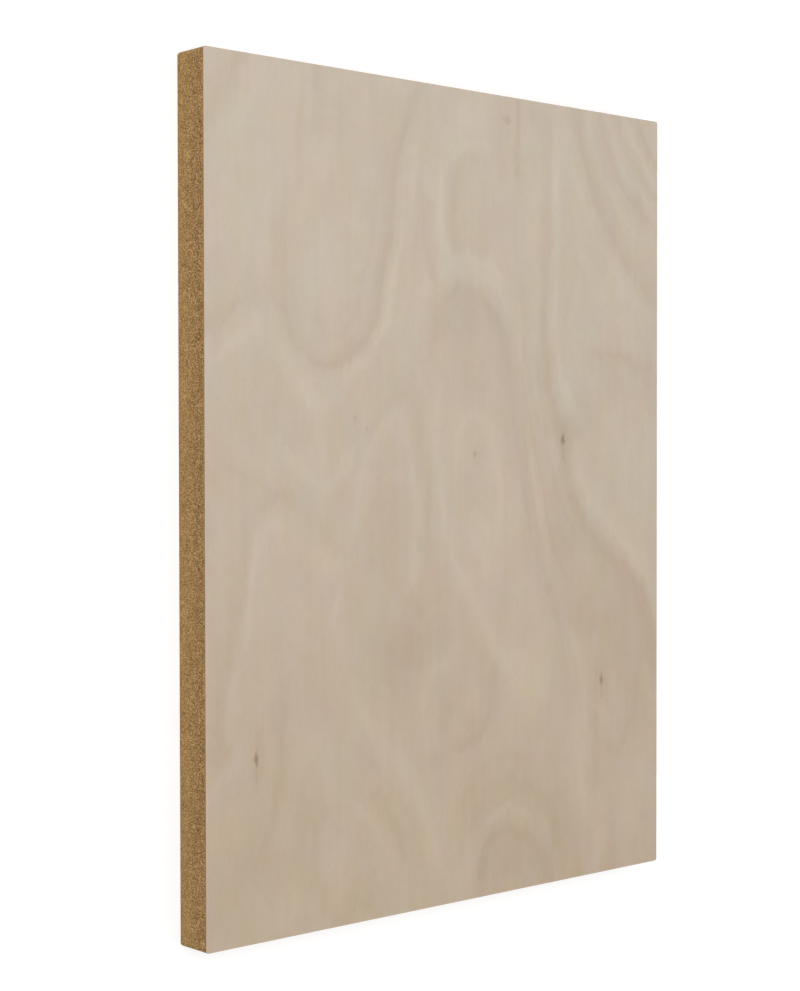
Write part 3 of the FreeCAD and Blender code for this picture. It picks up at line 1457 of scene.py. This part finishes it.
@dataclass(frozen=True)
class FibreboardFinish:
    """Raw fibreboard, as the saw and a little sanding leave it, with painted shade in its gaps and pits and
    partly painted highlight on its threads.
    """

    face_side_brown: Colour = (0.203, 0.106, 0.033)
    back_side_brown: Colour = (0.345, 0.195, 0.068)
    olive: Colour = (0.232, 0.150, 0.046)
    russet: Colour = (0.390, 0.160, 0.055)
    # Pale fibre colour, partly painted highlight on the raised threads and fibre ends.
    thread_and_highlight: Colour = (0.650, 0.416, 0.178)
    # Near black: painted shade in the gaps between the fibres and in the pits.
    gap: Colour = (0.045, 0.021, 0.005)
    dust: Colour = (0.440, 0.300, 0.160)
    coarse: Triple = (1700.0, 1700.0, 1150.0)
    fine: Triple = (2500.0, 2500.0, 1700.0)
    fine_offset: Triple = (31.0, 17.0, 5.0)
    layer_clouds: Triple = (90.0, 90.0, 240.0)
    layer_wander: float = 0.7
    flakes: Triple = (1800.0, 1800.0, 2000.0)
    flake_fade: Pair = (0.35, 1.0)
    flake_share: float = 0.35
    veins: Triple = (70.0, 70.0, 160.0)
    vein_fade: Pair = (0.42, 0.56)
    vein_heights: Pair = (1.74, 1.93)
    russet_share: float = 0.60
    dust_share: float = 0.18
    dust_reach: float = 1.6 * MM
    patchiness: float = 1.8
    tufts: Triple = (170.0, 170.0, 300.0)
    dense_tuft: Pair = (0.60, 0.42)
    loose_tuft: Pair = (0.38, 0.58)
    fine_gap_shade: Pair = (0.55, 0.85)
    coarse_gap_shade: Pair = (0.35, 0.75)
    fine_threads: Pair = (0.75, 1.0)
    coarse_threads: Pair = (0.45, 0.80)
    spark_share: float = 0.50
    fine_relief: float = 0.5
    # Painted shade in the pit hollows, on top of their real depth.
    pit_shade_fade: Pair = (0.25, 0.90)
    pit_shade_share: float = 0.80
    roughness: float = 0.86
    thread_roughness: float = -0.12
    shine: float = 0.2
    relief: float = 0.45
    relief_depth: float = 0.12 * MM

    def material(self, name: str, half_size: Vector) -> bpy.types.Material:
        """Makes the material for the core's edges.

        Args:
            name: the material's name.
            half_size: half the board's size.

        Returns:
            The material.
        """
        material, bench, shader = start_material(name)
        wrap = bench.carried(Carrier.WRAP, "Vector")
        coarse = bench.effect(FibreMat(), Vector=wrap, Fineness=self.coarse).outputs
        fine = bench.effect(FibreMat(), Vector=wrap, Fineness=self.fine, Offset=self.fine_offset).outputs
        colour = self.ground(bench, wrap, half_size)
        colour = self.lay_in(bench, wrap, colour, fine, coarse)
        # Painted shade in the pits, darker where they are deeper.
        pit = bench.fade(bench.carried(Carrier.PIT), *self.pit_shade_fade, 0.0, self.pit_shade_share)
        colour = bench.blend(pit, colour, self.gap)
        bench.feed(shader.inputs["Base Color"], colour)
        rough = bench.math("MULTIPLY_ADD", coarse["Threads"], self.thread_roughness, self.roughness)
        bench.feed(shader.inputs["Roughness"], rough)
        bench.feed(shader.inputs["Specular IOR Level"], self.shine)
        height = bench.math("MULTIPLY_ADD", fine["Height"], self.fine_relief, coarse["Height"])
        bench.relief(shader, height, self.relief, self.relief_depth)
        return material

    def ground(self, bench: Bench, wrap: Socket, half_size: Vector) -> Socket:
        """Colours the edge across its thickness, darker towards the face veneer.

        Args:
            bench: where the nodes are placed.
            wrap: the point on the edge, wrapped round a cylinder.
            half_size: half the board's size.

        Returns:
            The colour under the fibres.
        """
        _, _, z = bench.apart(wrap)
        wander = bench.math("SUBTRACT", bench.noise(wrap, self.layer_clouds), 0.5)
        rise = bench.fade(z, 0.0, 2.0 * half_size.z)
        face_side = bench.math("MULTIPLY_ADD", wander, self.layer_wander, rise, clamp=True)
        # Darker towards the face veneer, along a wandering boundary.
        colour = bench.blend(face_side, self.back_side_brown, self.face_side_brown)
        flake = bench.apart(bench.cells(wrap, self.flakes).outputs["Color"])[1]
        flaked = bench.fade(flake, *self.flake_fade, 0.0, self.flake_share)
        colour = bench.blend(flaked, colour, self.olive)
        veins = bench.fade(bench.noise(wrap, self.veins, detail=3.0), *self.vein_fade)
        near_face = bench.fade(z, *(height * half_size.z for height in self.vein_heights))
        near_face = bench.math("MULTIPLY", near_face, self.russet_share)
        colour = bench.lay(veins, near_face, colour, self.russet)
        arris_masks = bench.effect(
            ArrisWearAndHighlight(),
            Vector=bench.here(),
            Half_Size=tuple(half_size),
            Reach=self.dust_reach,
            Patchiness=self.patchiness,
        ).outputs
        return bench.lay(arris_masks["Wear And Highlight"], self.dust_share, colour, self.dust)

    def lay_in(self, bench: Bench, wrap: Socket, colour: Socket, fine: Sockets, coarse: Sockets) -> Socket:
        """Lays painted shade in the gaps, and the pale threads and bright fibre ends, partly painted
        highlight, over the ground.

        Args:
            bench: where the nodes are placed.
            wrap: the point on the edge, wrapped round a cylinder.
            colour: the ground.
            fine: the outputs of the fine mat.
            coarse: the outputs of the coarse mat.

        Returns:
            The colour with the fibres in it.
        """
        tufts = bench.noise(wrap, self.tufts, detail=1.0)
        # Painted shade in the gaps, then pale threads and fibre ends, partly painted highlight.
        layers = [
            (fine["Gap Shade"], bench.fade(tufts, *self.dense_tuft, *self.fine_gap_shade), self.gap),
            (coarse["Gap Shade"], bench.fade(tufts, *self.dense_tuft, *self.coarse_gap_shade), self.gap),
            (fine["Threads"], bench.fade(tufts, *self.loose_tuft, *self.fine_threads), self.thread_and_highlight),
            (coarse["Threads"], bench.fade(tufts, *self.loose_tuft, *self.coarse_threads), self.thread_and_highlight),
            (coarse["Sparks"], self.spark_share, self.thread_and_highlight),
        ]
        for mask, share, tint in layers:
            colour = bench.lay(mask, share, colour, tint)
        return colour


@dataclass(frozen=True)
class FloorFinish:
    """A matt white sweep that lights up for the camera and keeps the shadows."""

    paint: Colour = (0.82, 0.82, 0.82)
    paint_seen: Colour = (0.44, 0.44, 0.44)
    glow: float = 0.62
    near: float = 0.45
    far: float = 1.1
    roughness: float = 0.9
    shine: float = 0.1

    def material(self, name: str) -> bpy.types.Material:
        """Makes the floor's material.

        Args:
            name: the material's name.

        Returns:
            The material.
        """
        material, bench, shader = start_material(name)
        showing = seen(bench)
        bench.feed(shader.inputs["Base Color"], bench.blend(showing, self.paint, self.paint_seen))
        bench.feed(shader.inputs["Roughness"], self.roughness)
        bench.feed(shader.inputs["Specular IOR Level"], self.shine)
        bench.feed(shader.inputs["Emission Color"], (1.0, 1.0, 1.0))
        radius = bench.vector("LENGTH", bench.here())
        glow = bench.fade(radius, self.near, self.far, self.glow, 1.0)
        bench.feed(shader.inputs["Emission Strength"], bench.math("MULTIPLY", showing, glow))
        return material


def seen(bench: Bench) -> Socket:
    """Tells rays that show a surface from rays that only light by it.

    Args:
        bench: where the nodes are placed.

    Returns:
        1 where the camera, a gloss or a glass looks, otherwise 0.
    """
    rays = bench.place("ShaderNodeLightPath").outputs
    mirrored = bench.math("MAXIMUM", rays["Is Glossy Ray"], rays["Is Transmission Ray"])
    return bench.math("MAXIMUM", rays["Is Camera Ray"], mirrored)


# ---------------------------------------------------------------- the board's pieces


@dataclass
class VeneerSheet:
    """One sheet of veneer: a finely gridded show side, an eased rim and a plain glue side."""

    layer: Layer
    facing: Facing
    figure: Figure
    outline: Outline
    top: float
    glue: float
    half_size: Vector
    pitch: float = 1.2 * MM
    arris: float = 0.2 * MM
    arris_steps: int = 4
    relief: float = 0.02 * MM
    fray: float = 0.06 * MM
    fray_hills: Unevenness = Unevenness((2.6, 2.6), 0.5)
    fray_seed: int = 5
    finish: VeneerFinish = field(default_factory=VeneerFinish)

    def build(self) -> bpy.types.Object:
        """Makes the sheet and dresses it.

        Returns:
            The sheet's object, riding on the board.
        """
        xs, ys = self.outline.grid(self.pitch)
        columns, rows = len(xs), len(ys)
        x, y = (axis.ravel() for axis in np.meshgrid(xs, ys))
        marks = self.figure.press(x, y)
        sunk = self.relief * np.clip(0.5 - 0.5 * marks, 0.0, 1.0)
        sheet = Sheet()
        nodes = sheet.add_points(np.stack([x, y, self.top - sunk], axis=1)).reshape(rows, columns)
        quads = np.stack([nodes[:-1, :-1], nodes[:-1, 1:], nodes[1:, 1:], nodes[1:, :-1]], axis=-1)
        sheet.faces += [tuple(quad) for quad in quads.reshape(-1, 4).tolist()]
        places, headings = self.outline.stations(columns, rows)
        stand = np.stack([xs[places[:, 0]], ys[places[:, 1]]], axis=1)
        hills = self.fray_hills.spread(stand[:, 0] / MM, stand[:, 1] / MM, self.fray_seed)
        inset = self.fray * (0.5 + hills)
        ring = nodes[places[:, 1], places[:, 0]]
        rim_marks = marks.reshape(rows, columns)[places[:, 1], places[:, 0]]
        carried = [marks]
        for reach, height in self.rim():
            share = reach / self.outline.corner_radius
            points = stand + headings * (reach - inset * share)[:, None]
            following = sheet.add_points(np.column_stack([points, np.full(len(points), height)]))
            sheet.band(ring, following)
            ring = following
            carried.append(rim_marks)
        sheet.cap(ring, np.array([0.0, 0.0, self.glue]))
        carried.append(np.zeros(1))
        mirrored_at = None if self.facing is Facing.UP else (self.top + self.glue) / 2
        piece = sheet.build(self.layer.value + "_sheet", mirrored_at)
        carry(piece, Carrier.FIGURE, np.concatenate(carried))
        birch = self.finish.material(self.layer.value + "_birch", self.figure, self.half_size)
        hand_over(piece, birch, self.layer)
        return piece

    def rim(self) -> list[Pair]:
        """The rings outside the grid.

        Returns:
            Each ring's distance from the corner arcs' centres, and its height.
        """
        radius = self.outline.corner_radius
        steps = [(0.5 * radius, self.top), (radius - self.arris, self.top)]
        for step in range(1, self.arris_steps + 1):
            turn = math.pi / 2 * step / self.arris_steps
            drop = self.arris * (1 - math.cos(turn))
            steps.append((radius - self.arris * (1 - math.sin(turn)), self.top - drop))
        steps.append((radius, self.glue))
        return steps


@dataclass
class FibreboardCore:
    """The fibreboard sheet, with pitted and felted edges between the veneers."""

    outline: Outline
    top: float
    bottom: float
    half_size: Vector
    pitch: float = 0.52 * MM
    felt: float = 0.026 * MM
    rough_hills: tuple[Unevenness, ...] = (Unevenness((2.4, 1.3), 0.3, 1), Unevenness((0.9, 0.7), 0.4, 2))
    pits_per_mm2: float = 0.09
    pit_depth: float = 0.22 * MM
    pit_half_length: Pair = (0.32 * MM, 0.72 * MM)
    pit_half_height: Pair = (0.30 * MM, 0.50 * MM)
    pit_strength: Pair = (0.3, 1.0)
    pit_tilt: Pair = (-0.6, 0.6)
    seam_width: float = 1.0 * MM
    seed: int = 23
    finish: FibreboardFinish = field(default_factory=FibreboardFinish)

    def build(self) -> bpy.types.Object:
        """Makes the core and dresses it.

        Returns:
            The core's object, riding on the board.
        """
        xs, ys = self.outline.grid(self.pitch)
        places, headings = self.outline.stations(len(xs), len(ys))
        stand = np.stack([xs[places[:, 0]], ys[places[:, 1]]], axis=1)
        edge = stand + headings * self.outline.corner_radius
        run = np.linalg.norm(np.roll(edge, -1, axis=0) - edge, axis=1)
        along = np.concatenate([[0.0], np.cumsum(run)[:-1]])
        girth = float(run.sum())
        levels = np.linspace(self.top, self.bottom, round((self.top - self.bottom) / self.pitch) + 1)
        pits = self.pits(along, girth, levels)
        depth = self.pit_depth * pits + self.felting(along, girth, levels)
        turn = 2 * math.pi * along / girth
        drum = girth / (2 * math.pi) * np.stack([np.cos(turn), np.sin(turn)], axis=1)
        sheet = Sheet()
        roof, base = np.array([[0.0, 0.0, self.top]]), np.array([[0.0, 0.0, self.bottom]])
        ring = np.repeat(sheet.add_points(roof), len(edge))
        wraps, hollows = [roof], [np.zeros(1)]
        for index, level in enumerate(levels):
            height = np.full(len(edge), level)
            points = edge - headings * depth[:, index][:, None]
            following = sheet.add_points(np.column_stack([points, height]))
            sheet.band(ring, following)
            ring = following
            wraps.append(np.column_stack([drum, height]))
            hollows.append(pits[:, index])
        sheet.cap(ring, base)
        wraps.append(base)
        hollows.append(np.zeros(1))
        piece = sheet.build(Layer.CORE.value + "_sheet")
        carry(piece, Carrier.WRAP, np.concatenate(wraps))
        carry(piece, Carrier.PIT, np.concatenate(hollows))
        fibreboard = self.finish.material("raw_fibreboard", self.half_size)
        hand_over(piece, fibreboard, Layer.CORE)
        return piece

    def pits(self, along: np.ndarray, girth: float, levels: np.ndarray) -> np.ndarray:
        """Scatters small torn hollows over the edges.

        Args:
            along: each station's distance round the board.
            girth: the whole way round.
            levels: the heights of the rows.

        Returns:
            How hollow each point is, from 0 to 1.
        """
        rng = np.random.default_rng(self.seed)
        drop = self.top - self.bottom
        hollow = np.zeros((len(along), len(levels)))
        for _ in range(int(self.pits_per_mm2 * girth * drop / MM**2)):
            centre = rng.uniform(0.0, girth)
            level = rng.uniform(self.bottom, self.top)
            half_length = rng.uniform(*self.pit_half_length)
            half_height = rng.uniform(*self.pit_half_height)
            strength = rng.uniform(*self.pit_strength)
            tilt = rng.uniform(*self.pit_tilt)
            first, last = np.searchsorted(along, (centre - 3 * half_length, centre + 3 * half_length))
            u = along[first:last, None] - centre
            v = levels[None, :] - level
            turned_u = u * math.cos(tilt) + v * math.sin(tilt)
            turned_v = v * math.cos(tilt) - u * math.sin(tilt)
            bowl = strength * np.exp(-((turned_u / half_length) ** 2) - (turned_v / half_height) ** 2)
            hollow[first:last] = np.maximum(hollow[first:last], bowl)
        return hollow * self.seam(along, girth)[:, None]

    def felting(self, along: np.ndarray, girth: float, levels: np.ndarray) -> np.ndarray:
        """The fine unevenness of the fibres.

        Args:
            along: each station's distance round the board.
            girth: the whole way round.
            levels: the heights of the rows.

        Returns:
            How far each point lies inside the cut, in metres.
        """
        s, z = np.meshgrid(along / MM, levels / MM, indexing="ij")
        hills = sum(layer.spread(s, z, self.seed) for layer in self.rough_hills)
        return self.felt * np.clip(0.5 + hills, 0.0, 1.0) * self.seam(along, girth)[:, None]

    def seam(self, along: np.ndarray, girth: float) -> np.ndarray:
        """Quietens the relief where the walk round the board starts and ends.

        Args:
            along: each station's distance round the board.
            girth: the whole way round.

        Returns:
            A share from 0 to 1 for each station.
        """
        return np.clip(np.minimum(along, girth - along) / self.seam_width, 0.0, 1.0)


# ---------------------------------------------------------------- studio and camera


@dataclass
class SoftBox:
    """A square soft lamp aimed at the board."""

    name: str
    place: Triple
    aim: Triple
    size: float
    power: float

    def build(self) -> bpy.types.Object:
        """Hangs the lamp.

        Returns:
            The lamp's object.
        """
        lamp = bpy.data.lights.new(self.name, "AREA")
        lamp.shape = "SQUARE"
        lamp.size = self.size
        lamp.energy = self.power
        holder = bpy.data.objects.new(self.name, lamp)
        holder.location = self.place
        beam = Vector(self.aim) - Vector(self.place)
        holder.rotation_euler = beam.to_track_quat("-Z", "Y").to_euler()
        bpy.context.scene.collection.objects.link(holder)
        return holder


@dataclass
class Studio:
    """A white floor, soft lamps and an even sky."""

    floor_half: float = 4.0
    sky: float = 0.50
    lamps: tuple[SoftBox, ...] = (
        SoftBox("key_light", (-0.75, 0.30, 1.25), (0.0, 0.0, 0.0), 1.1, 12.0),
        SoftBox("fill_light", (0.80, -0.30, 1.20), (0.0, 0.0, 0.0), 1.4, 6.0),
    )

    def build(self) -> None:
        """Sets up the floor, the lamps and the sky."""
        mesh = bpy.data.meshes.new("studio_floor")
        half = self.floor_half
        corners = [(-half, -half, 0.0), (half, -half, 0.0), (half, half, 0.0), (-half, half, 0.0)]
        mesh.from_pydata(corners, [], [(0, 1, 2, 3)])
        floor = bpy.data.objects.new("studio_floor", mesh)
        bpy.context.scene.collection.objects.link(floor)
        floor.data.materials.append(FloorFinish().material("studio_white"))
        for lamp in self.lamps:
            lamp.build()
        world = bpy.data.worlds.new("studio_sky")
        world.use_nodes = True
        bench = Bench(world.node_tree)
        level = bench.fade(seen(bench), 0.0, 1.0, self.sky, 1.0)
        background = world.node_tree.nodes["Background"]
        bench.feed(background.inputs["Color"], (1.0, 1.0, 1.0))
        bench.feed(background.inputs["Strength"], level)
        bpy.context.scene.world = world
        bpy.context.scene.view_settings.view_transform = "Standard"


@dataclass
class Viewpoint:
    """The camera: it looks down past the board's left edge, turned so that the grain runs up the picture."""

    target: Triple = (-0.0338, 0.0011, 0.019)
    distance: float = 0.8842
    tilt: float = 41.38
    swing: float = -1.19
    roll: float = -0.08
    lens: float = 70.65
    sensor: float = 36.0
    nearest: float = 0.01

    def build(self) -> bpy.types.Object:
        """Places the camera.

        Returns:
            The camera's object.
        """
        tilt, swing, roll = (math.radians(a) for a in (self.tilt, self.swing, self.roll))
        flat = math.cos(swing)
        forward = Vector((math.sin(tilt) * flat, math.sin(swing), -math.cos(tilt) * flat))
        level = forward.cross(Vector((0.0, 1.0, 0.0))).normalized()
        upright = level.cross(forward)
        right = level * math.cos(roll) + upright * math.sin(roll)
        up = right.cross(forward)
        place = Vector(self.target) - forward * self.distance
        data = bpy.data.cameras.new("viewpoint")
        data.lens = self.lens
        data.sensor_width = self.sensor
        data.clip_start = self.nearest
        camera = bpy.data.objects.new("viewpoint", data)
        camera.matrix_world = Matrix.Translation(place) @ Matrix((right, up, -forward)).transposed().to_4x4()
        bpy.context.scene.collection.objects.link(camera)
        bpy.context.scene.camera = camera
        return camera


@dataclass
class Board:
    """The three sheets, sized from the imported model."""

    low: Vector
    high: Vector

    def build(self) -> list[bpy.types.Object]:
        """Makes the core and both veneers.

        Returns:
            The three pieces.
        """
        size = self.high - self.low
        half_size = size / 2
        outline = Outline(size.x, size.y)
        sheet = (size.x / MM, size.y / MM)
        core_low, core_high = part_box(Layer.CORE.value)
        face = VeneerSheet(
            layer=Layer.FACE,
            facing=Facing.UP,
            figure=Figure(FACE_FIGURE, FACE_KNOTS, sheet),
            outline=outline,
            top=self.high.z,
            glue=core_high.z,
            half_size=half_size,
        )
        back = VeneerSheet(
            layer=Layer.BACK,
            facing=Facing.DOWN,
            figure=Figure(FACE_FIGURE, BACK_KNOTS, sheet, waver=4.0, seed=61, turned=True),
            outline=outline,
            arris=0.42 * MM,
            finish=VeneerFinish(rim_share=0.95),
            top=core_low.z,
            glue=self.low.z,
            half_size=half_size,
            pitch=2.2 * MM,
        )
        core = FibreboardCore(outline=outline, top=core_high.z, bottom=core_low.z, half_size=half_size)
        return [face.build(), back.build(), core.build()]


def main() -> None:
    """Builds the camera, the studio and the board, and reports each piece."""
    logging.basicConfig(level=logging.INFO, format="%(name)s: %(message)s")
    Viewpoint().build()
    Studio().build()
    for piece in Board(*CAD_BOX).build():
        LOG.info("%s: %d faces", piece.name, len(piece.data.polygons))


if __name__ == "__main__":
    main()
